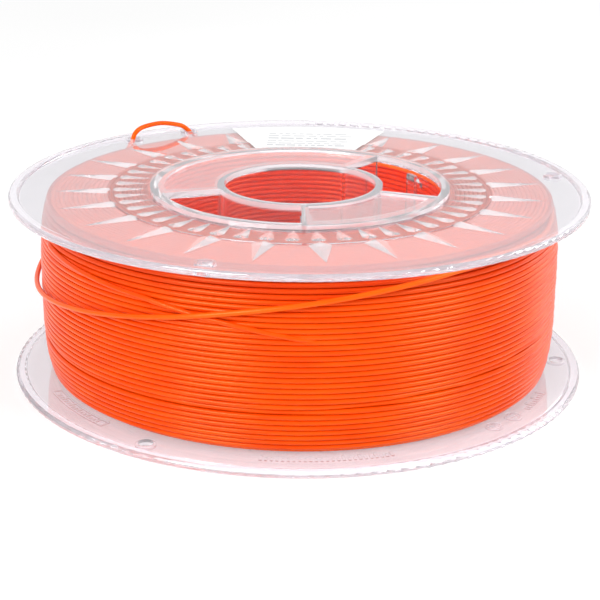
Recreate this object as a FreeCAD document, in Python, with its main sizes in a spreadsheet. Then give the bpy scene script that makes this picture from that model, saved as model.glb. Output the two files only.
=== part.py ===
"""Filament spool: two identical clear half-spools that snap together round a wound 1.75 mm strand.

Millimetres, +Z up. The spool's axis is Z, and the origin is the centre of the face it rests on.
A half-spool is drawn in a frame of its own: z = 0 is the plane where the halves meet and
z = half_width is its outer face. The lower half is the same moulding turned over.
"""
import FreeCAD, Part
import math
import os
import re

from FreeCAD import Placement, Rotation, Vector

# alias, value, what it is. Lengths in mm, angles in degrees anticlockwise from +X seen from above.
DIMENSIONS = [
    ("half_width", 33.2, "mid plane to the hub deck, the spool's outermost plane"),
    ("flange_radius", 100.0, "outside of the rim"),
    ("disc_thickness", 1.3, "flange disc"),
    ("rim_drop", 0.65, "top of the rim below the hub deck"),
    ("rim_width", 3.8, "radial width of the rim bead"),
    ("rim_depth", 2.4, "axial depth of the rim bead"),
    ("rim_step", 1.1, "how far the rim stands above the disc"),
    ("rim_round", 1.0, "rounding of the rim bead's four edges"),
    ("bore_radius", 26.25, "hole that takes the holder's shaft"),
    ("bore_wall", 2.5, "wall of the bore tube"),
    ("core_radius", 52.0, "outside of the core drum, under the winding"),
    ("core_wall", 3.0, "wall of the core drum"),
    ("deck_thickness", 2.6, "hub deck"),
    ("pane_recess", 0.8, "depth of the recessed deck panes"),
    ("lip_outer", 5.1, "raised lip between a pane and the deck's edge"),
    ("lip_inner", 3.3, "raised lip between a pane and the bore"),
    ("lip_end", 2.4, "raised lip at each end of a pane"),
    ("web_thickness", 1.6, "radial webs between bore tube and core drum"),
    ("web_gap", 0.1, "web end to the mid plane"),
    ("window_angle", 74.5, "hub window, from the web on one side to the web on the other"),
    ("window_one", 199.3, "web where the first window starts"),
    ("window_two", 342.65, "web where the second window starts"),
    ("step_radius", 66.5, "edge of the thicker zone round the hub"),
    ("step_height", 0.35, "thicker zone above the disc"),
    ("hole_radius", 2.5, "parking hole for the strand's end"),
    ("hole_circle", 92.3, "radius of the circle of parking holes"),
    ("collar_radius", 3.4, "low collar round a parking hole"),
    ("collar_height", 0.9, "collar above the disc"),
    ("tongue_depth", 3.0, "locating tongue past the mid plane"),
    ("tongue_width", 1.4, "radial width of the tongue"),
    ("tongue_play", 0.15, "clearance between tongue and groove"),
    ("flip_axis", 127.25, "in-plane axis that the lower half is turned over about"),
    ("arm_radius", 46.0, "inner side of a snap arm"),
    ("arm_thickness", 1.5, "radial thickness of a snap arm"),
    ("arm_width", 5.0, "tangential width of a snap arm"),
    ("arm_root", 12.0, "length of the root that joins an arm to its drum"),
    ("arm_reach", 30.3, "how far an arm reaches past the mid plane"),
    ("barb_height", 2.6, "axial height of the barb"),
    ("barb_width", 1.1, "how far the barb stands out"),
    ("ledge_width", 1.1, "how far the catch ledge stands in"),
    ("ledge_height", 2.0, "axial height of the catch ledge"),
    ("catch_play", 0.15, "play between barb and ledge"),
    ("spike_pitch", 15.0, "angle between two long spikes"),
    ("spike_root", 64.6, "inner end of a long spike"),
    ("spike_waist", 67.2, "widest place of a long spike"),
    ("spike_tip", 85.0, "outer end of a long spike"),
    ("spike_half_width", 3.8, "half the widest width of a long spike"),
    ("tooth_apex", 52.6, "inner end of a short tooth"),
    ("tooth_base", 62.9, "widest place of a short tooth"),
    ("tooth_tail", 64.4, "outer end of a short tooth"),
    ("tooth_half_width", 2.6, "half the width of a short tooth"),
    ("relief_height", 0.95, "peaks of the spikes and teeth above the disc"),
    ("pad_angle", 38.4, "width of the label and its smooth pad"),
    ("pad_centre", 90.0, "middle of the label"),
    ("label_inner", 53.6, "label, inner radius"),
    ("label_outer", 92.0, "label, outer radius"),
    ("label_thickness", 0.12, "paper label"),
    ("winding_inner", 52.15, "inside of the winding, just clear of the drum"),
    ("winding_radius", 90.0, "outside of the winding at its middle"),
    ("winding_gap", 0.2, "winding to the flange's inner face"),
    ("shoulder_drop", 2.6, "how much smaller the winding is beside the flanges"),
    ("row_count", 34.0, "turns side by side in one layer"),
    ("row_relief", 0.45, "depth of the groove between two turns"),
    ("strand_diameter", 1.75, "filament"),
]

DOC = FreeCAD.newDocument("filament_spool")
SHEET = DOC.addObject("Spreadsheet::Sheet", "Dimensions")
for row, (alias, value, meaning) in enumerate(DIMENSIONS, start=1):
    SHEET.set(f"A{row}", alias)
    SHEET.set(f"B{row}", repr(value))
    SHEET.set(f"C{row}", meaning)
    SHEET.setAlias(f"B{row}", alias)
DOC.recompute()

EPS = 0.3       # how far a fused or cutting solid runs into or past its neighbour


def size(alias):
    """The value of one cell."""
    return float(SHEET.get(alias))


def cells(expression):
    """The same expression with each alias pointing at the sheet."""
    return re.sub(r"[a-z][a-z_]+", lambda word: f"Dimensions.{word.group()}", expression)


def bind(feature, **sizes):
    """Ties properties to the sheet; z stands for the placement's height."""
    for prop, expression in sizes.items():
        path = "Placement.Base.z" if prop == "z" else prop
        feature.setExpression(path, cells(expression))
    return feature


def turn(angle):
    """A rotation about the spool's axis."""
    return Rotation(Vector(0, 0, 1), angle)


def polar(radius, angle, height=0.0):
    """A point from its radius, its angle in degrees and its height."""
    a = math.radians(angle)
    return Vector(radius * math.cos(a), radius * math.sin(a), height)


# ---- simple solids, bound to the sheet ---------------------------------------------------------

def cylinder(name, radius, height, bottom, start=0.0, sweep="360"):
    """A cylinder on the axis, or a wedge of one from start anticlockwise through sweep."""
    solid = DOC.addObject("Part::Cylinder", name)
    solid.Placement = Placement(Vector(), turn(start))
    return bind(solid, Radius=radius, Height=height, Angle=sweep, z=bottom)


def ring(name, outer, inner, height, bottom, start=0.0, sweep="360"):
    """A tube on the axis, or a sector of one."""
    cut = DOC.addObject("Part::Cut", name)
    cut.Base = cylinder(name + "_outer", outer, height, bottom, start, sweep)
    cut.Tool = cylinder(name + "_inner", inner, f"{height} + 2", f"{bottom} - 1")
    return cut


def block(name, radial, tangential, height, inner, bottom, angle):
    """A box across the radial line at angle, starting at radius inner."""
    solid = DOC.addObject("Part::Box", name)
    bind(solid, Length=radial, Width=tangential, Height=height)
    DOC.recompute()
    corner = Vector(inner, -solid.Width.Value / 2, 0)
    solid.Placement = Placement(turn(angle).multVec(corner), turn(angle))
    return bind(solid, z=bottom)


def prism(name, outline, width, angle):
    """A solid of one (radius, height) outline, extruded across the radial line at angle."""
    points = [Vector(radius, -width / 2, height) for radius, height in outline]
    face = Part.Face(Part.makePolygon(points + [points[0]]))
    return feature(name, turned(face.extrude(Vector(0, width, 0)), angle))


def turned(shape, angle):
    """A copy of shape, turned about the spool's axis."""
    copy = shape.copy()
    copy.rotate(Vector(), Vector(0, 0, 1), angle)
    return copy


def fuse(name, parts):
    """One solid made of several."""
    union = DOC.addObject("Part::MultiFuse", name)
    union.Shapes = parts
    return union


def cut(name, base, tools):
    """base without tools, checked to have lost some volume."""
    DOC.recompute()
    before = base.Shape.Volume
    result = DOC.addObject("Part::Cut", name)
    result.Base = base
    result.Tool = fuse(name + "_tools", tools) if len(tools) > 1 else tools[0]
    DOC.recompute()
    if result.Shape.Volume > before - 1.0:
        raise SystemExit(f"{name} cuts nothing")
    return result


def pyramid(outline, peak):
    """A solid with one peak over a flat outline, and a straight footing under the outline."""
    footing = Part.Face(Part.makePolygon(outline + [outline[0]])).extrude(Vector(0, 0, -EPS))
    faces = [Part.Face(Part.makePolygon(outline + [outline[0]]))]
    for first, second in zip(outline, outline[1:] + [outline[0]]):
        faces.append(Part.Face(Part.makePolygon([first, second, peak, first])))
    return Part.makeSolid(Part.makeShell(faces)).fuse(footing).removeSplitter()


def feature(name, shape):
    """A document object that holds a shape made by Part's own functions."""
    held = DOC.addObject("Part::Feature", name)
    held.Shape = shape
    return held


# ---- one half-spool, in its own frame -----------------------------------------------------------

DISC_FACE = size("half_width") - size("rim_drop") - size("rim_step")
HOOK_ANGLES = (222.5, 6.5)                  # one snap arm of this half in each window
HOLE_ANGLES = (13.5, 254.5, 136.0, 120.5)   # two single parking holes and a pair


def rim_bead(name):
    """The thick rounded rim, with all four edges rounded."""
    bead = ring(name + "_rim_ring", "flange_radius", "flange_radius - rim_width", "rim_depth",
                "half_width - rim_drop - rim_depth")
    DOC.recompute()
    rounded = DOC.addObject("Part::Fillet", name + "_rim")
    rounded.Base = bead
    radius = size("rim_round")
    circles = [number for number, edge in enumerate(bead.Shape.Edges, start=1)
               if isinstance(edge.Curve, Part.Circle)]
    rounded.Edges = [(number, radius, radius) for number in circles]
    return rounded


def at_holes(name, radius, height, bottom):
    """A cylinder at each parking hole."""
    solids = []
    for index, angle in enumerate(HOLE_ANGLES):
        solid = DOC.addObject("Part::Cylinder", f"{name}_{index}")
        solid.Placement = Placement(polar(size("hole_circle"), angle), Rotation())
        solids.append(bind(solid, Radius=radius, Height=height, z=bottom))
    return solids


def flange(name):
    """Disc, rim, hole collars and the thicker zone, which leaves a smooth pad for the label."""
    disc = ring(name + "_disc", "flange_radius - rim_width / 2", "core_radius - core_wall",
                "disc_thickness", "half_width - rim_drop - rim_step - disc_thickness")
    pad_end = size("pad_centre") + size("pad_angle") / 2
    step = ring(name + "_step", "step_radius", "core_radius - core_wall", "step_height + 0.3",
                "half_width - rim_drop - rim_step - 0.3", pad_end, "360 - pad_angle")
    collars = at_holes(name + "_collar", "collar_radius", "collar_height + 0.3",
                       "half_width - rim_drop - rim_step - 0.3")
    return [disc, step, rim_bead(name)] + collars


def hub(name):
    """Deck, core drum, bore tube and the webs between them."""
    parts = [
        ring(name + "_deck", "core_radius", "bore_radius", "deck_thickness",
             "half_width - deck_thickness"),
        ring(name + "_core", "core_radius", "core_radius - core_wall", "half_width", "0"),
        ring(name + "_bore", "bore_radius + bore_wall", "bore_radius", "half_width", "0"),
    ]
    inner = size("bore_radius") + size("bore_wall") - EPS
    starts = [size("window_one"), size("window_two")]
    ends = [start + size("window_angle") for start in starts]
    for index, angle in enumerate(starts + ends):
        parts.append(block(
            f"{name}_web_{index}", "core_radius - core_wall - bore_radius - bore_wall + 0.6",
            "web_thickness", "half_width - deck_thickness - web_gap + 0.3", inner, "web_gap", angle))
    return parts


def relief():
    """Faceted long spikes every spike_pitch, and a short tooth every half pitch, as separate solids."""
    high = DISC_FACE + size("relief_height")
    root, waist, tip = size("spike_root"), size("spike_waist"), size("spike_tip")
    half = size("spike_half_width")
    spike = pyramid([Vector(root, -half / 2, DISC_FACE), Vector(waist, -half, DISC_FACE),
                     Vector(tip, 0, DISC_FACE), Vector(waist, half, DISC_FACE),
                     Vector(root, half / 2, DISC_FACE)], Vector(waist, 0, high))
    ground = DISC_FACE + size("step_height")
    apex, base, tail = size("tooth_apex"), size("tooth_base"), size("tooth_tail")
    half = size("tooth_half_width")
    tooth = pyramid([Vector(apex, 0, ground), Vector(base, -half, ground),
                     Vector(tail, -half / 2, ground), Vector(tail, half / 2, ground),
                     Vector(base, half, ground)], Vector(base, 0, high))
    pitch = size("spike_pitch")
    first = size("pad_centre") + pitch * 1.5
    spikes = [turned(spike, first + k * pitch) for k in range(22)]
    teeth = [turned(tooth, first + k * pitch / 2) for k in range(43)]
    return spikes + teeth


def snap_arms(name):
    """Two arms that reach past the mid plane, with a barb that looks outwards at the end."""
    parts = []
    inner, outer = size("arm_radius"), size("arm_radius") + size("arm_thickness")
    reach, barb, stand = size("arm_reach"), size("barb_height"), size("barb_width")
    for index, angle in enumerate(HOOK_ANGLES):
        parts.append(block(f"{name}_arm_{index}", "arm_thickness", "arm_width", "arm_reach + arm_root",
                           inner, "-arm_reach", angle))
        parts.append(block(f"{name}_root_{index}", "core_radius - core_wall - arm_radius + 0.3",
                           "arm_width", "arm_root - tongue_depth", inner, "tongue_depth + 0.5", angle))
        outline = [(outer - EPS, -reach), (outer, -reach), (outer + stand, barb - reach),
                   (outer - EPS, barb - reach)]
        parts.append(prism(f"{name}_barb_{index}", outline, size("arm_width"), angle))
    return parts


def ledges(name):
    """The ledges inside the drum that the other half's barbs catch, bevelled on the way in."""
    parts = []
    drum = size("core_radius") - size("core_wall")
    low = size("arm_reach") - size("barb_height") - size("catch_play") - size("ledge_height")
    high = low + size("ledge_height")
    stand = size("ledge_width")
    for index, hook in enumerate(HOOK_ANGLES):
        outline = [(drum + EPS, low), (drum, low), (drum - stand, low + stand),
                   (drum - stand, high), (drum + EPS, high)]
        angle = 2 * size("flip_axis") - hook
        parts.append(prism(f"{name}_ledge_{index}", outline, size("arm_width") + 2, angle))
    return parts


def openings(name):
    """Everything cut out of the half: windows, pane recesses, parking holes and the groove."""
    tools = []
    one, two, wide = size("window_one"), size("window_two"), size("window_angle")
    web_turn = math.degrees(size("web_thickness") / 2 / (size("core_radius") - size("core_wall")))
    for index, start in enumerate((one, two)):
        tools.append(ring(f"{name}_window_{index}", "core_radius - core_wall",
                          "bore_radius + bore_wall", "deck_thickness + 2",
                          "half_width - deck_thickness - 1", start + web_turn,
                          f"window_angle - {2 * web_turn}"))
    lip_turn = math.degrees(size("lip_end") / 40.0)
    runs = [(two + wide, one + 360 - two - wide), (one + wide, two - one - wide)]
    for index, (start, sweep) in enumerate(runs):
        tools.append(ring(f"{name}_pane_{index}", "core_radius - lip_outer", "bore_radius + lip_inner",
                          "pane_recess + 1", "half_width - pane_recess", start + lip_turn,
                          f"{sweep - 2 * lip_turn}"))
    tools += at_holes(name + "_hole", "hole_radius", "disc_thickness + collar_height + 2",
                      "half_width - rim_drop - rim_step - disc_thickness - 1")
    tools.append(ring(f"{name}_groove", "core_radius - core_wall + tongue_width + tongue_play",
                      "core_radius - core_wall - 1", "tongue_depth + tongue_play + 1", "-1",
                      size("flip_axis") - 180.5, "181"))
    return tools


def tongue(name):
    """Half a ring that locates in the other half's groove."""
    return ring(name + "_tongue", "core_radius - core_wall + tongue_width", "core_radius - core_wall",
                "tongue_depth + 0.3", "-tongue_depth", size("flip_axis") + 1, "178")


def half_spool(label, placement, marks):
    """A whole half-spool. The halves differ only in the marks moulded on one of them."""
    shell = fuse(label + "_shell", flange(label) + hub(label))
    opened = cut(label + "_opened", shell, openings(label))
    DOC.recompute()
    moulded = opened.Shape.fuse(relief() + marks)
    relieved = feature(label + "_relieved", moulded.removeSplitter())
    half = fuse(label, [relieved, tongue(label)] + snap_arms(label) + ledges(label))
    half.Label = label
    half.Placement = placement
    return half


# ---- generic moulded marks ----------------------------------------------------------------------

def arc_bar(inner, outer, angle, sweep):
    """A low raised bar on the disc's outer face: a short sector of a ring."""
    height = 0.4
    low = DISC_FACE - EPS
    bar = Part.makeCylinder(outer, height + EPS, Vector(0, 0, low), Vector(0, 0, 1), sweep)
    bar = bar.cut(Part.makeCylinder(inner, height + 2, Vector(0, 0, low - 1)))
    return turned(bar, angle - sweep / 2)


def frame_mark(centre, span):
    """A plain outline: two arcs joined by two short radial bars."""
    inner, outer, line = 87.2, 91.0, 0.6
    bars = [arc_bar(inner, inner + line, centre, span), arc_bar(outer - line, outer, centre, span)]
    side = math.degrees(line / outer)
    for end in (-1, 1):
        bars.append(arc_bar(inner, outer, centre + end * (span - side) / 2, side))
    return bars[0].fuse(bars[1:])


def scale_mark(centre, count, step):
    """A row of radial bars, every third one long."""
    return [arc_bar(87.4 if k % 3 == 0 else 88.8, 90.8, centre + (k - (count - 1) / 2) * step, 0.55)
            for k in range(count)]


def date_dial(angle):
    """A round dial with twelve ticks and a pointer, as a mould maker leaves it."""
    low = DISC_FACE - EPS
    height = 0.4 + EPS
    dial = Part.makeCylinder(3.1, height).cut(Part.makeCylinder(2.6, height))
    ticks = [Part.makeBox(0.35, 0.7, height, Vector(-0.175, 1.7, 0)) for _ in range(12)]
    for k, tick in enumerate(ticks):
        tick.rotate(Vector(), Vector(0, 0, 1), 30 * k)
    pointer = Part.makeBox(0.45, 2.2, height, Vector(-0.225, -1.1, 0))
    solids = [dial, pointer] + ticks
    for solid in solids:
        solid.rotate(Vector(), Vector(0, 0, 1), angle)
        solid.translate(polar(89.2, angle, low))
    return solids


def moulded_marks():
    """The marks on the lower half: an outline, a scale and two dials."""
    marks = [frame_mark(37.5, 22.0)]
    marks += scale_mark(37.5, 15, 1.2)
    marks += scale_mark(336.5, 25, 1.1)
    marks += date_dial(297.0)
    marks += date_dial(290.0)
    marks += scale_mark(279.5, 9, 1.2)
    return marks


# ---- label, winding and the strand's end --------------------------------------------------------

def flange_label():
    """The paper label on the smooth pad of the upper flange."""
    start = size("pad_centre") - size("pad_angle") / 2
    label = ring("flange_label", "label_outer", "label_inner", "label_thickness",
                 "2 * half_width - rim_drop - rim_step", start, "pad_angle")
    label.Label = "flange_label"
    return label


def row_crest(row):
    """Outside radius of one row of turns: the winding rounds off beside the flanges."""
    middle = (size("row_count") - 1) / 2
    return size("winding_radius") - size("shoulder_drop") * abs(row / middle - 1) ** 4


def filament_winding():
    """The wound strand as one closed ring, grooved on the outside like its turns."""
    bottom = size("half_width") - DISC_FACE + size("disc_thickness") + size("winding_gap")
    height = 2 * (size("half_width") - bottom)
    rows = int(size("row_count"))
    pitch = height / rows
    inner, relief_depth = size("winding_inner"), size("row_relief")
    crests = [row_crest(row) for row in range(rows)]
    valleys = [min(pair) - relief_depth for pair in zip(crests, crests[1:])]
    valleys = [crests[0] - relief_depth] + valleys + [crests[-1] - relief_depth]
    edges = []
    for row in range(rows):
        z = bottom + row * pitch
        start = Vector(valleys[row], 0, z)
        crest = Vector(crests[row], 0, z + pitch / 2)
        end = Vector(valleys[row + 1], 0, z + pitch)
        edges.append(Part.Arc(start, crest, end).toShape())
    top, low = bottom + height, bottom
    corners = [Vector(valleys[-1], 0, top), Vector(inner, 0, top), Vector(inner, 0, low),
               Vector(valleys[0], 0, low)]
    edges += [Part.LineSegment(a, b).toShape() for a, b in zip(corners, corners[1:])]
    face = Part.Face(Part.Wire(edges))
    return feature("filament_winding", face.revolve(Vector(), Vector(0, 0, 1), 360))


# The strand's end as (angle, radius, height): it leaves the top row, crosses the winding
# downwards, sags low on the far side, climbs to its parking hole, stands up in a loop over the
# flange and goes down through the partner hole.
STRAND_ROUTE = [
    (330, 91.5, 61.15), (318, 91.5, 61.35), (306, 91.5, 60.55), (294, 91.5, 58.25),
    (282, 91.5, 55.55), (270, 91.5, 52.65), (258, 91.5, 49.55), (246, 91.5, 45.85),
    (234, 91.5, 42.55), (222, 91.6, 39.55), (210, 91.8, 36.95), (198, 92.0, 35.05),
    (186, 92.1, 34.35), (174, 92.1, 36.25), (162, 92.0, 41.05), (150, 92.2, 48.6),
    (136.8, 92.3, 61.3), (136.0, 92.3, 68.9), (129.2, 92.3, 70.1), (125.2, 92.3, 69.0),
    (121.3, 92.3, 67.2), (118.3, 92.3, 60.2), (112.5, 92.0, 53.0),
]
RUN_SHARE = 0.45      # the share of the shorter run that an arc takes up


def corner_arc(before, corner, after):
    """The tangent arc that rounds one corner: its start, middle, end and radius."""
    back, ahead = before - corner, after - corner
    shorter = min(back.Length, ahead.Length)
    back.normalize()
    ahead.normalize()
    half_turn = (math.pi - back.getAngle(ahead)) / 2
    radius = RUN_SHARE * shorter / math.tan(half_turn)
    inward = back + ahead
    inward.normalize()
    to_middle = radius / math.cos(half_turn) - radius
    start = corner + back * (RUN_SHARE * shorter)
    end = corner + ahead * (RUN_SHARE * shorter)
    return start, corner + inward * to_middle, end, radius


def tube(name, points, diameter):
    """A round tube along straight runs joined by tangent arcs."""
    edges = []
    radii = []
    last = points[0]
    for before, corner, after in zip(points, points[1:], points[2:]):
        start, middle, end, radius = corner_arc(before, corner, after)
        edges.append(Part.LineSegment(last, start).toShape())
        edges.append(Part.Arc(start, middle, end).toShape())
        radii.append(radius)
        last = end
    edges.append(Part.LineSegment(last, points[-1]).toShape())
    path = Part.Wire(edges)
    circle = Part.Circle(points[0], points[1] - points[0], diameter / 2)
    solid = path.makePipeShell([Part.Wire(circle.toShape())], True, False)
    expected = math.pi * diameter ** 2 / 4 * path.Length
    print(f"{name}: length {path.Length:.1f}, radii {', '.join(f'{r:.1f}' for r in radii)}")
    print(f"{name}: volume {solid.Volume:.1f}, section times length {expected:.1f}")
    if abs(solid.Volume / expected - 1) > 0.01:
        raise SystemExit(f"{name} isn't a true tube")
    return feature(name, solid)


# ---- the spool ----------------------------------------------------------------------------------

def check(parts):
    """Stops if any object failed, or any part isn't one valid solid of its own."""
    for item in DOC.Objects:
        if "Invalid" in item.State or "Error" in item.State:
            raise SystemExit(f"{item.Name} failed: {item.State}")
    for part in parts:
        shape = part.Shape
        if shape.isNull() or not shape.isValid() or len(shape.Solids) != 1:
            raise SystemExit(f"{part.Label} is not one valid solid")
        box = shape.BoundBox
        print(f"{part.Label}: {shape.Volume / 1000:.1f} cm3, faces {len(shape.Faces)}, "
              f"x {box.XMin:.2f} {box.XMax:.2f} y {box.YMin:.2f} {box.YMax:.2f} "
              f"z {box.ZMin:.2f} {box.ZMax:.2f}")


def main():
    """Builds every part, checks it and writes its file."""
    axis = polar(1.0, size("flip_axis"))
    middle = Vector(0, 0, size("half_width"))
    parts = [
        half_spool("upper_half_spool", Placement(middle, Rotation()), []),
        half_spool("lower_half_spool", Placement(middle, Rotation(axis, 180)), moulded_marks()),
        filament_winding(),
        tube("filament_end", [polar(r, a, z) for a, r, z in STRAND_ROUTE], size("strand_diameter")),
        flange_label(),
    ]
    DOC.recompute()
    check(parts)
    os.makedirs("parts", exist_ok=True)
    for part in parts:
        part.Shape.exportStep(f"parts/{part.Label}.step")


main()
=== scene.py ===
import math
import random

import bpy
from mathutils import Matrix, Vector


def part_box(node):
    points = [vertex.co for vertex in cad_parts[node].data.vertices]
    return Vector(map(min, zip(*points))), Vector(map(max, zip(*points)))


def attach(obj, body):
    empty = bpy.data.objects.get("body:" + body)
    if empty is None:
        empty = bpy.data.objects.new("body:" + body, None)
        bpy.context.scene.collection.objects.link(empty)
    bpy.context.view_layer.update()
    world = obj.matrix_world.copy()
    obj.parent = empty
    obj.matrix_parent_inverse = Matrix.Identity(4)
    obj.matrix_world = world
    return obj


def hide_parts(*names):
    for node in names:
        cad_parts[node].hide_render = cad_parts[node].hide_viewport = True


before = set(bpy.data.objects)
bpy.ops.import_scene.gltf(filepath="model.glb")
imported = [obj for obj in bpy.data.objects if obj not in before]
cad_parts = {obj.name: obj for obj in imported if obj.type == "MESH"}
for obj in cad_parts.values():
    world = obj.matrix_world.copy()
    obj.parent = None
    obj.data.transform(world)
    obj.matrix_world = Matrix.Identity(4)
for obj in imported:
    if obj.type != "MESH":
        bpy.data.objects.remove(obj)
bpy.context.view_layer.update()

# A wound filament spool: the clear half-spools and the label stay the CAD's own meshes, the label
# gets print, and the winding and the strand's end are replaced by detailed pieces. Metres; Z is the
# spool's axis.

MM = 0.001

# ---- sizes read from the frame -------------------------------------------------------------------

WIND_LOW, WIND_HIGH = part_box("filament_winding")
HALF_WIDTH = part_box("upper_half_spool")[1].z / 2    # mid plane to the hub deck
LABEL_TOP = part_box("flange_label")[1].z

STRAND = 1.75 * MM                       # filament diameter
ROWS = 34                                # turns side by side in one layer
WIND_BOTTOM, WIND_TOP = WIND_LOW.z, WIND_HIGH.z
PITCH = (WIND_TOP - WIND_BOTTOM) / ROWS
WIND_RADIUS = WIND_HIGH.x                # outside of the winding at its middle
CORE_RADIUS = 52.0 * MM                  # outside of the core drum
LAYER_PITCH = PITCH * math.sqrt(3) / 2   # radial distance between layers that nest
FIRST_RADIUS = CORE_RADIUS + STRAND / 2 + 0.2 * MM     # centre line of the first layer
ROW_STEP = (WIND_TOP - WIND_BOTTOM - STRAND) / (ROWS - 1)    # height from one row to the next
PRINT_HEIGHT = 0.03 * MM                 # print above the label


# ---- camera --------------------------------------------------------------------------------------

def make_camera():
    """Looks down at the spool from the front, a little right of -Y, through a short telephoto."""
    azimuth, distance, elevation = 2.0, 571.2 * MM, 18.56
    pan, tilt, roll = -0.0455, -0.698, -0.612
    e = math.radians(elevation)
    place = Vector((0, -distance * math.cos(e), distance * math.sin(e) + 30.65 * MM))
    ahead = Vector((0, math.cos(e), -math.sin(e)))
    right = Vector((1, 0, 0))
    up = right.cross(ahead)
    spin = Matrix.Rotation(math.radians(pan), 3, up)
    ahead, right = spin @ ahead, spin @ right
    spin = Matrix.Rotation(math.radians(tilt), 3, right)
    ahead, up = spin @ ahead, spin @ up
    spin = Matrix.Rotation(math.radians(roll), 3, ahead)
    right, up = spin @ right, spin @ up
    axes = Matrix((right, up, -ahead)).transposed().to_4x4()
    camera = bpy.data.objects.new("camera", bpy.data.cameras.new("camera"))
    camera.data.lens = 96.7
    camera.data.sensor_width = 36.0
    camera.data.clip_start = 0.01
    bpy.context.scene.collection.objects.link(camera)
    camera.matrix_world = (Matrix.Rotation(math.radians(azimuth), 4, "Z")
                           @ Matrix.Translation(place) @ axes)
    bpy.context.scene.camera = camera


# ---- materials -----------------------------------------------------------------------------------

def new_material(name):
    """An empty node material, its tree and its Principled shader."""
    material = bpy.data.materials.new(name)
    material.use_nodes = True
    tree = material.node_tree
    return material, tree, tree.nodes["Principled BSDF"]


def add(tree, kind, **values):
    """A node with the given inputs or settings."""
    node = tree.nodes.new(kind)
    for key, value in values.items():
        if key in node.inputs:
            node.inputs[key].default_value = value
        else:
            setattr(node, key, value)
    return node


def noise(tree, scale, detail=2.0, stretch=(1, 1, 1)):
    """Noise in object space, stretched along the axes."""
    place = add(tree, "ShaderNodeTexCoord")
    mapping = add(tree, "ShaderNodeMapping")
    mapping.inputs["Scale"].default_value = stretch
    texture = add(tree, "ShaderNodeTexNoise", Scale=scale, Detail=detail)
    tree.links.new(place.outputs["Object"], mapping.inputs["Vector"])
    tree.links.new(mapping.outputs["Vector"], texture.inputs["Vector"])
    return texture.outputs["Fac"]


def ramp(tree, value, low, high, start=0.3, end=0.7):
    """value spread between two colours."""
    node = add(tree, "ShaderNodeValToRGB")
    node.color_ramp.elements[0].position = start
    node.color_ramp.elements[0].color = (*low, 1)
    node.color_ramp.elements[1].position = end
    node.color_ramp.elements[1].color = (*high, 1)
    tree.links.new(value, node.inputs["Fac"])
    return node.outputs["Color"]


def spread(tree, value, low, high):
    """value mapped from 0..1 to low..high."""
    node = add(tree, "ShaderNodeMapRange")
    node.inputs["To Min"].default_value = low
    node.inputs["To Max"].default_value = high
    tree.links.new(value, node.inputs["Value"])
    return node.outputs["Result"]


def bump(tree, height, strength, distance, shader):
    """Height as bump on the shader's normal."""
    node = add(tree, "ShaderNodeBump", Strength=strength, Distance=distance)
    tree.links.new(height, node.inputs["Height"])
    tree.links.new(node.outputs["Normal"], shader.inputs["Normal"])


def filament_material(name, shade, low, high):
    """Satin orange filament with painted shade: the top rows, under the rim, blend toward a dark
    red by up to the share shade.
    """
    material, tree, shader = new_material(name)
    colour = ramp(tree, noise(tree, 60, 3, (1, 1, 6)), low, high)
    # Painted shade: the share of dark red rises from 11 mm to 5 mm below the winding's top, where
    # the rim would shade the rows.
    painted_shade_share = add(tree, "ShaderNodeMapRange")
    painted_shade_share.inputs["From Min"].default_value = WIND_TOP - 11 * MM
    painted_shade_share.inputs["From Max"].default_value = WIND_TOP - 5 * MM
    painted_shade_share.inputs["To Max"].default_value = shade
    tree.links.new(object_height(tree), painted_shade_share.inputs["Value"])
    painted_shade_mix = add(tree, "ShaderNodeMix", data_type="RGBA")
    tree.links.new(painted_shade_share.outputs["Result"], painted_shade_mix.inputs[0])
    tree.links.new(colour, painted_shade_mix.inputs[6])
    # The colour of the painted shade.
    painted_shade_mix.inputs[7].default_value = (0.45, 0.012, 0.001, 1)
    tree.links.new(painted_shade_mix.outputs[2], shader.inputs["Base Color"])
    tree.links.new(spread(tree, noise(tree, 400, 4, (1, 1, 4)), 0.2, 0.28),
                   shader.inputs["Roughness"])
    shader.inputs["IOR"].default_value = 1.42
    shader.inputs["Specular IOR Level"].default_value = 0.7
    shader.inputs["Specular Tint"].default_value = (1.0, 0.58, 0.26, 1.0)
    bump(tree, noise(tree, 900, 3, (1, 1, 5)), 0.04, 0.03 * MM, shader)
    return material


def object_height(tree):
    """How high a point is, in metres."""
    place = add(tree, "ShaderNodeTexCoord")
    split = add(tree, "ShaderNodeSeparateXYZ")
    tree.links.new(place.outputs["Object"], split.inputs[0])
    return split.outputs["Z"]


def axis_distance(tree):
    """How far a point is from the spool's axis, in metres."""
    place = add(tree, "ShaderNodeTexCoord")
    flat = add(tree, "ShaderNodeVectorMath", operation="MULTIPLY")
    flat.inputs[1].default_value = (1, 1, 0)
    length = add(tree, "ShaderNodeVectorMath", operation="LENGTH")
    tree.links.new(place.outputs["Object"], flat.inputs[0])
    tree.links.new(flat.outputs[0], length.inputs[0])
    return length.outputs["Value"]


def by_radius(tree, stops):
    """A value that changes with the distance from the axis, from (millimetres, value) pairs."""
    share = add(tree, "ShaderNodeMath", operation="DIVIDE")
    share.inputs[1].default_value = 100 * MM
    tree.links.new(axis_distance(tree), share.inputs[0])
    node = add(tree, "ShaderNodeValToRGB")
    ramp_stops = node.color_ramp.elements
    while len(ramp_stops) < len(stops):
        ramp_stops.new(0.5)
    for stop, (millimetres, colour) in zip(ramp_stops, stops):
        stop.position = millimetres / 100
        stop.color = (*colour, 1)
    tree.links.new(share.outputs[0], node.inputs["Fac"])
    return node.outputs["Color"]


def by_zone(tree, hub, ring, disc, rim):
    """One value each for the hub, the toothed ring round it, the flange disc and the rim."""
    return by_radius(tree, [(52.1, hub), (52.5, ring), (66.3, ring), (66.8, disc), (95.7, disc),
                            (96.3, rim)])


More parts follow.
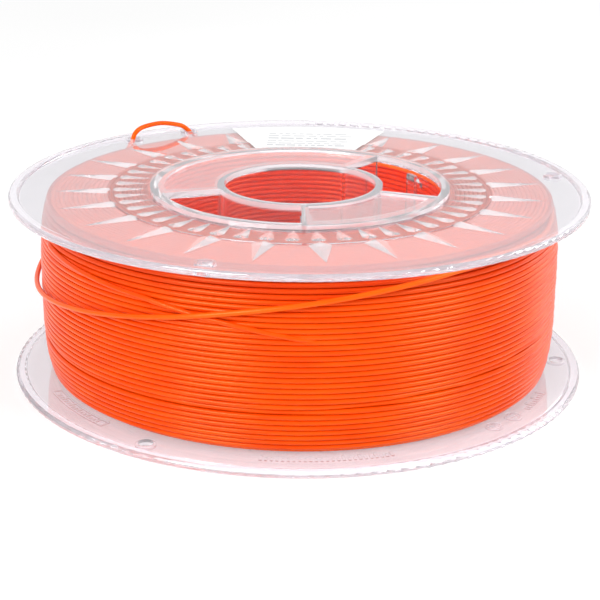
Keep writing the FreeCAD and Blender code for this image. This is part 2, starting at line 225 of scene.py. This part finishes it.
def near_deck(tree, most):
    """A value of most within 1.5 mm of either hub deck, falling to nothing at 2.4 mm."""
    offset = add(tree, "ShaderNodeMath", operation="SUBTRACT")
    offset.inputs[1].default_value = HALF_WIDTH
    tree.links.new(object_height(tree), offset.inputs[0])
    height = add(tree, "ShaderNodeMath", operation="ABSOLUTE")
    tree.links.new(offset.outputs[0], height.inputs[0])
    band = add(tree, "ShaderNodeMapRange")
    band.inputs["From Min"].default_value = HALF_WIDTH - 2.4 * MM
    band.inputs["From Max"].default_value = HALF_WIDTH - 1.5 * MM
    band.inputs["To Max"].default_value = most
    tree.links.new(height.outputs[0], band.inputs["Value"])
    return band.outputs["Result"]


def clear_material(name, zone, disc, hub_haze=0.01, zone_haze=0.04, haze=0.14, deck_haze=0.0):
    """Clear moulded styrene: hard gloss, faint flow waves, a lilac tinge, a little haze."""
    material, tree, shader = new_material(name)
    colour = by_zone(tree, (0.96, 0.945, 0.972), zone, disc, (0.90, 0.875, 0.92))
    flow = ramp(tree, noise(tree, 9, 1), (0.97, 0.97, 0.97), (1, 1, 1))
    blend = add(tree, "ShaderNodeMix", data_type="RGBA", blend_type="MULTIPLY")
    blend.inputs[0].default_value = 1.0
    tree.links.new(colour, blend.inputs[6])
    tree.links.new(flow, blend.inputs[7])
    tree.links.new(blend.outputs[2], shader.inputs["Base Color"])
    tree.links.new(spread(tree, noise(tree, 45, 3), 0.015, 0.06), shader.inputs["Roughness"])
    rim_haze = 0.13
    hazes = (hub_haze, zone_haze, haze, rim_haze)
    let_through = by_zone(tree, *((1 - share,) * 3 for share in hazes))
    clear = add(tree, "ShaderNodeMath", operation="SUBTRACT", use_clamp=True)
    tree.links.new(let_through, clear.inputs[0])
    tree.links.new(near_deck(tree, deck_haze), clear.inputs[1])
    tree.links.new(clear.outputs[0], shader.inputs["Transmission Weight"])
    shader.inputs["IOR"].default_value = 1.57
    bump(tree, noise(tree, 28, 2), 0.02, 0.2 * MM, shader)
    output = tree.nodes["Material Output"]
    through = add(tree, "ShaderNodeBsdfTransparent", Color=(0.93, 0.92, 0.935, 1))
    path = add(tree, "ShaderNodeLightPath")
    choose = add(tree, "ShaderNodeMixShader")
    tree.links.new(path.outputs["Is Shadow Ray"], choose.inputs[0])
    tree.links.new(shader.outputs["BSDF"], choose.inputs[1])
    tree.links.new(through.outputs["BSDF"], choose.inputs[2])
    tree.links.new(choose.outputs["Shader"], output.inputs["Surface"])
    return material


def label_material():
    """White coated paper with faint fibres."""
    material, tree, shader = new_material("label_paper")
    colour = ramp(tree, noise(tree, 900, 4), (0.86, 0.86, 0.86), (0.93, 0.93, 0.92))
    tree.links.new(colour, shader.inputs["Base Color"])
    tree.links.new(spread(tree, noise(tree, 300, 2), 0.45, 0.6), shader.inputs["Roughness"])
    bump(tree, noise(tree, 1500, 4), 0.15, 0.03 * MM, shader)
    return material


def ink_material():
    """Grey print."""
    material, tree, shader = new_material("label_ink")
    colour = ramp(tree, noise(tree, 2500, 3), (0.52, 0.53, 0.55), (0.62, 0.63, 0.65))
    tree.links.new(colour, shader.inputs["Base Color"])
    tree.links.new(spread(tree, noise(tree, 600, 2), 0.4, 0.6), shader.inputs["Roughness"])
    return material


# ---- strands -------------------------------------------------------------------------------------

def new_mesh(name, points, faces, material, smooth=True):
    """A mesh object in the scene."""
    mesh = bpy.data.meshes.new(name)
    mesh.from_pydata(points, [], faces)
    mesh.materials.append(material)
    for polygon in mesh.polygons:
        polygon.use_smooth = smooth
    piece = bpy.data.objects.new(name, mesh)
    bpy.context.scene.collection.objects.link(piece)
    return piece


def around(radius, angle, height):
    """A point from its radius, its angle in radians and its height."""
    return Vector((radius * math.cos(angle), radius * math.sin(angle), height))


def sweep(path, radius, sides, closed=False):
    """Points and faces of a round strand along a path that winds round Z."""
    points, faces = [], []
    count = len(path)
    for i, centre in enumerate(path):
        before = path[i - 1] if i or closed else path[0]
        after = path[(i + 1) % count] if i < count - 1 or closed else path[-1]
        along = (after - before).normalized()
        out = Vector((centre.x, centre.y, 0)).normalized()
        side = (out - along * out.dot(along)).normalized()
        up = along.cross(side)
        for k in range(sides):
            a = 2 * math.pi * k / sides
            points.append(centre + (side * math.cos(a) + up * math.sin(a)) * radius)
    last = count if closed else count - 1
    for i in range(last):
        a, b = i * sides, (i + 1) % count * sides
        for k in range(sides):
            n = (k + 1) % sides
            faces.append((a + k, b + k, b + n, a + n))
    if not closed:
        faces.append(tuple(range(sides - 1, -1, -1)))
        faces.append(tuple(range((count - 1) * sides, count * sides)))
    return points, faces


def strands(name, paths, sides, material, closed=False):
    """One piece made of several strands."""
    points, faces = [], []
    for path in paths:
        more_points, more_faces = sweep(path, STRAND / 2, sides, closed)
        base = len(points)
        points += more_points
        faces += [tuple(base + i for i in face) for face in more_faces]
    return new_mesh(name, points, faces, material)


def crest(row):
    """Outside radius of a row: smaller beside the flanges."""
    middle = (ROWS - 1) / 2
    return WIND_RADIUS - 2.6 * MM * abs(row / middle - 1) ** 4


def wander(seed, angle, harmonics=4):
    """A smooth closed wobble between about -1 and 1, different for each seed."""
    source = random.Random(seed)
    total = 0.0
    for k in range(1, harmonics + 1):
        total += source.uniform(-1, 1) / k * math.sin(k * angle + source.uniform(0, 2 * math.pi))
    return total / 1.6


def between(value, stops):
    """A value read off straight lines between (position, value) pairs."""
    for (low, first), (high, second) in zip(stops, stops[1:]):
        if low <= value <= high:
            return first + (second - first) * (value - low) / (high - low)
    return stops[0][1] if value < stops[0][0] else stops[-1][1]


def groove_depth(angle, height):
    """How far a turn sinks where two runs of the last layer don't quite meet."""
    degrees = math.degrees(angle) % 360
    level = MM * between(degrees, [(190, 17.65), (270, 17.65), (291, 20.25), (316, 23.5),
                                   (350, 28)])
    fade = between(degrees, [(180, 0), (200, 1), (318, 1), (345, 0)])
    return 0.75 * MM * fade * math.exp(-((height - level) / (1.0 * MM)) ** 2)


def outer_layer(material):
    """The layer that shows: one helix, its turns a little uneven in height and depth."""
    steps = 144
    path = []
    for i in range(ROWS * steps + 1):
        row = i / steps
        angle = 2 * math.pi * row
        whole = min(int(row), ROWS - 1)
        share = row - whole
        level = min(row, ROWS - 1)
        near = crest(level)
        depth = wander(100 + whole, angle) * (1 - share) + wander(101 + whole, angle) * share
        height = WIND_BOTTOM + STRAND / 2 + level * ROW_STEP
        radius = near - STRAND / 2 - 0.12 * MM + depth * 0.14 * MM - groove_depth(angle, height)
        path.append(around(radius, angle, height))
    crossings = [crossing_turn([(200, 87.2, 54.4), (206, 89.4, 53.6), (220, 89.9, 52.4),
                                (240, 90.0, 50.3), (259, 89.9, 45.8), (272, 89.4, 42.0),
                                (280, 87.2, 40.0)])]
    return strands("winding_outer_layer", [path] + crossings, 10, material)


def crossing_turn(stops):
    """A stretch of the last turns that lies across those under it, from (degrees, mm, mm) stops."""
    first, last = stops[0][0], stops[-1][0]
    path = []
    for degrees in range(first, last + 1):
        radius = between(degrees, [(a, r) for a, r, _ in stops])
        height = between(degrees, [(a, z) for a, _, z in stops])
        path.append(around(radius * MM, math.radians(degrees), height * MM))
    return path


def side_rings(name, height, material):
    """The turns that lie against one flange, a layer apart."""
    paths = []
    radius = FIRST_RADIUS
    ring = 0
    while radius < crest(0) - STRAND:
        paths.append([around(radius + wander(ring, 2 * math.pi * i / 128) * 0.12 * MM,
                             2 * math.pi * i / 128, height) for i in range(128)])
        radius += LAYER_PITCH
        ring += 1
    return strands(name, paths, 8, material, closed=True)


def inner_layer(material):
    """The first layer, seen through the core drum."""
    steps = 96
    path = []
    for i in range((ROWS - 1) * steps + 1):
        row = i / steps
        height = WIND_BOTTOM + STRAND / 2 + row * ROW_STEP
        path.append(around(FIRST_RADIUS, -2 * math.pi * row, height))
    return strands("winding_first_layer", [path], 8, material)


def hidden_body(material):
    """The layers between, as one closed ring under the strands that show."""
    inner = CORE_RADIUS + STRAND
    outer = crest(0) - 1.1 * STRAND
    bulge = crest(16) - 1.0 * STRAND
    low, high = WIND_BOTTOM + 0.55 * STRAND, WIND_TOP - 0.55 * STRAND
    profile = [(inner, low), (outer, low)]
    for k in range(1, 16):
        level = k / 16
        swell = 1 - abs(2 * level - 1) ** 4
        profile.append((outer + (bulge - outer) * swell, low + (high - low) * level))
    profile += [(outer, high), (inner, high)]
    steps = 128
    points = [around(r, 2 * math.pi * i / steps, z) for i in range(steps) for r, z in profile]
    faces = []
    n = len(profile)
    for i in range(steps):
        j = (i + 1) % steps
        for k in range(n):
            m = (k + 1) % n
            faces.append((i * n + k, j * n + k, j * n + m, i * n + m))
    return new_mesh("winding_inside", points, faces, material)


# The end's route as (angle in degrees, radius mm, height mm): the CAD's points, after two that
# lead it out from among the turns.
END_ROUTE = [
    (356, 86.8, 60.6), (343, 88.6, 60.9),
    (330, 91.5, 61.15), (318, 91.5, 61.35), (306, 91.5, 60.55), (294, 91.5, 58.25),
    (282, 91.5, 55.55), (270, 91.5, 52.65), (258, 91.5, 49.55), (246, 91.5, 45.85),
    (234, 91.5, 42.55), (222, 91.6, 39.55), (210, 91.8, 36.95), (198, 92.0, 35.05),
    (186, 92.1, 34.35), (174, 92.1, 36.25), (162, 92.0, 41.05), (150, 92.2, 48.6),
    (136.8, 92.3, 61.3), (136.0, 92.3, 68.9), (129.2, 92.3, 70.1), (125.2, 92.3, 69.0),
    (121.3, 92.3, 67.2), (118.3, 92.3, 60.2), (112.5, 92.0, 53.0),
]


def strand_end(material):
    """The strand from the winding's top row to its parked tip, as one smooth curve."""
    curve = bpy.data.curves.new("filament_end_strand", "CURVE")
    curve.dimensions = "3D"
    curve.bevel_depth = STRAND / 2
    curve.bevel_resolution = 4
    curve.use_fill_caps = True
    curve.resolution_u = 12
    spline = curve.splines.new("NURBS")
    spline.points.add(len(END_ROUTE) - 1)
    for point, (angle, radius, height) in zip(spline.points, END_ROUTE):
        point.co = (*around(radius * MM, math.radians(angle), height * MM), 1)
    spline.order_u = 3
    spline.use_endpoint_u = True
    curve.materials.append(material)
    piece = bpy.data.objects.new("filament_end_strand", curve)
    bpy.context.scene.collection.objects.link(piece)
    return piece


# ---- stage ---------------------------------------------------------------------------------------

LIGHT_TARGET = Vector((0, 0, 0.03))


def area_light(name, place, size, energy):
    """A soft square light that looks at the lower half of the spool."""
    data = bpy.data.lights.new(name, "AREA")
    data.size = size
    data.energy = energy
    lamp = bpy.data.objects.new(name, data)
    bpy.context.scene.collection.objects.link(lamp)
    lamp.location = place
    lamp.rotation_euler = (LIGHT_TARGET - Vector(place)).to_track_quat("-Z", "Y").to_euler()


def make_stage():
    """A pale floor and soft studio light from above and both sides."""
    material, tree, shader = new_material("floor_paper")
    colour = ramp(tree, noise(tree, 3, 1), (0.45, 0.45, 0.45), (0.48, 0.48, 0.48))
    tree.links.new(colour, shader.inputs["Base Color"])
    shader.inputs["Roughness"].default_value = 0.9
    shader.inputs["Specular IOR Level"].default_value = 0.0
    shader.inputs["Emission Color"].default_value = (1.0, 1.0, 1.0, 1)
    shader.inputs["Emission Strength"].default_value = 0.55
    reach = 4.0
    floor = new_mesh("floor", [(-reach, -reach, 0), (reach, -reach, 0), (reach, reach, 0),
                               (-reach, reach, 0)], [(0, 1, 2, 3)], material, smooth=False)
    make_sky()
    area_light("left_softbox", (-0.635, -0.875, 0.62), 0.6, 10.0)
    area_light("right_softbox", (0.96, -0.49, 0.62), 0.5, 7.5)
    area_light("back_softbox", (0.82, 0.71, 0.5), 0.4, 2.0)


def make_sky():
    """A white studio: brightest low behind the spool, dimmer at the sides and behind the camera."""
    world = bpy.data.worlds.new("studio")
    world.use_nodes = True
    tree = world.node_tree
    bpy.context.scene.world = world
    place = add(tree, "ShaderNodeTexCoord")
    split = add(tree, "ShaderNodeSeparateXYZ")
    tree.links.new(place.outputs["Generated"], split.inputs[0])
    lift = add(tree, "ShaderNodeMapRange")
    lift.inputs["To Min"].default_value = 0.2
    lift.inputs["To Max"].default_value = 0.82
    tree.links.new(split.outputs["Z"], lift.inputs["Value"])
    back = add(tree, "ShaderNodeMapRange")
    back.inputs["From Min"].default_value = 0.1
    back.inputs["To Max"].default_value = 0.5
    tree.links.new(split.outputs["Y"], back.inputs["Value"])
    total = add(tree, "ShaderNodeMath", operation="ADD")
    tree.links.new(lift.outputs["Result"], total.inputs[0])
    tree.links.new(back.outputs["Result"], total.inputs[1])
    path = add(tree, "ShaderNodeLightPath")
    choose = add(tree, "ShaderNodeMix", data_type="FLOAT")
    tree.links.new(path.outputs["Is Camera Ray"], choose.inputs[0])
    tree.links.new(total.outputs[0], choose.inputs[2])
    choose.inputs[3].default_value = 1.0
    background = tree.nodes["Background"]
    background.inputs["Color"].default_value = (1.0, 1.0, 1.0, 1)
    tree.links.new(choose.outputs[0], background.inputs["Strength"])


# ---- the object ----------------------------------------------------------------------------------

PLAIN, FACET, LIP, PANE, WALL = range(5)    # places of a half-spool's materials


def finish_frame(node, materials):
    """A half-spool keeps the CAD's mesh: clear plastic, hazier on facets and on the deck."""
    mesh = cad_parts[node].data
    mesh.materials.clear()
    for material in materials:
        mesh.materials.append(material)
    for polygon in mesh.polygons:
        polygon.material_index = surface_kind(polygon.center, abs(polygon.normal.z))


def surface_kind(middle, level):
    """Which of its materials a half-spool's face takes, from its middle and how level it lies."""
    radius = math.hypot(middle.x, middle.y)
    below_deck = HALF_WIDTH - abs(middle.z - HALF_WIDTH)
    if 0.85 < level < 0.995 and 52 * MM < radius < 86 * MM:
        return FACET
    if level > 0.99 and radius < 52 * MM and below_deck < 0.1 * MM:
        return LIP
    if 0.2 <= level <= 0.99 and radius < 52.5 * MM and below_deck < 2.7 * MM:
        return LIP
    if level > 0.99 and radius < 48 * MM and below_deck < 1.0 * MM:
        return PANE
    if level < 0.2 and radius < 52.5 * MM:
        return WALL
    return PLAIN


BOX_FACES = ((0, 3, 2, 1), (4, 5, 6, 7), (0, 1, 5, 4), (1, 2, 6, 5), (2, 3, 7, 6), (3, 0, 4, 7))


def label_print(material):
    """Rows of plain bars on the label, where a real one has its print."""
    source = random.Random(7)
    points, faces = [], []
    for row, y in enumerate((61.0, 64.0, 67.5, 72.0, 76.0, 79.5)):
        x = -15.0
        while x < 14.0:
            wide = source.uniform(1.2, 5.0)
            deep = 0.55 if row % 3 else 0.9
            base = len(points)
            for z in (LABEL_TOP, LABEL_TOP + PRINT_HEIGHT):
                corners = ((x, y - deep), (x + wide, y - deep), (x + wide, y + deep), (x, y + deep))
                points += [Vector((px * MM, py * MM, z)) for px, py in corners]
            faces += [tuple(base + i for i in face) for face in BOX_FACES]
            x += wide + source.uniform(0.7, 1.6)
    return new_mesh("label_print", points, faces, material, smooth=False)


def main():
    """Camera, stage, materials, then each piece."""
    scene = bpy.context.scene
    scene.view_settings.view_transform = "Standard"
    scene.cycles.max_bounces = 32
    scene.cycles.glossy_bounces = 24
    scene.cycles.transmission_bounces = 24
    scene.cycles.transparent_max_bounces = 24
    scene.cycles.caustics_refractive = True
    scene.cycles.caustics_reflective = True
    make_camera()
    make_stage()
    orange = filament_material("orange_filament", 0.0, (0.90, 0.086, 0.0005), (0.95, 0.112, 0.002))
    # A darker copy of the orange for the outer layer, with painted shade on its top rows under the
    # rim.
    shaded = filament_material("orange_filament_outer_painted_shade", 0.6, (0.80, 0.054, 0.0003),
                               (0.86, 0.080, 0.001))
    # Painted shade: the first layer is a deep red copy of the orange, for the little light that
    # reaches it inside the hub.
    deep = filament_material("orange_filament_inner_painted_shade", 0.0, (0.80, 0.026, 0.0003),
                             (0.86, 0.040, 0.0006))
    bright = (0.97, 0.95, 0.97)
    facets = clear_material("clear_facets", bright, bright, zone_haze=0.26, haze=0.26)
    lips = clear_material("clear_deck_lips", bright, bright, hub_haze=0.3)
    panes = clear_material("clear_deck_panes", bright, bright, hub_haze=0.14)
    walls = clear_material("clear_hub_walls", bright, bright, deck_haze=0.38)
    upper = clear_material("clear_plastic", (0.62, 0.585, 0.625), (0.77, 0.755, 0.79))
    # Painted light: the lower half is a lighter copy of the clear plastic, where the spool shades
    # it near the floor.
    lower = clear_material("clear_plastic_lower_painted_light", (0.80, 0.77, 0.80), (0.82, 0.79, 0.82))
    finish_frame("upper_half_spool", [upper, facets, lips, panes, walls])
    finish_frame("lower_half_spool", [lower, facets, lips, panes, walls])
    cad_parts["flange_label"].data.materials.clear()
    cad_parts["flange_label"].data.materials.append(label_material())
    pieces = [outer_layer(shaded), inner_layer(deep), hidden_body(orange),
              side_rings("winding_top_side", WIND_TOP - STRAND / 2, orange),
              side_rings("winding_bottom_side", WIND_BOTTOM + STRAND / 2, orange)]
    for piece in pieces:
        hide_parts("filament_winding")
        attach(piece, "root")
    marks = label_print(ink_material())
    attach(marks, "root")
    end = strand_end(orange)
    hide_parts("filament_end")
    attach(end, "root")


main()
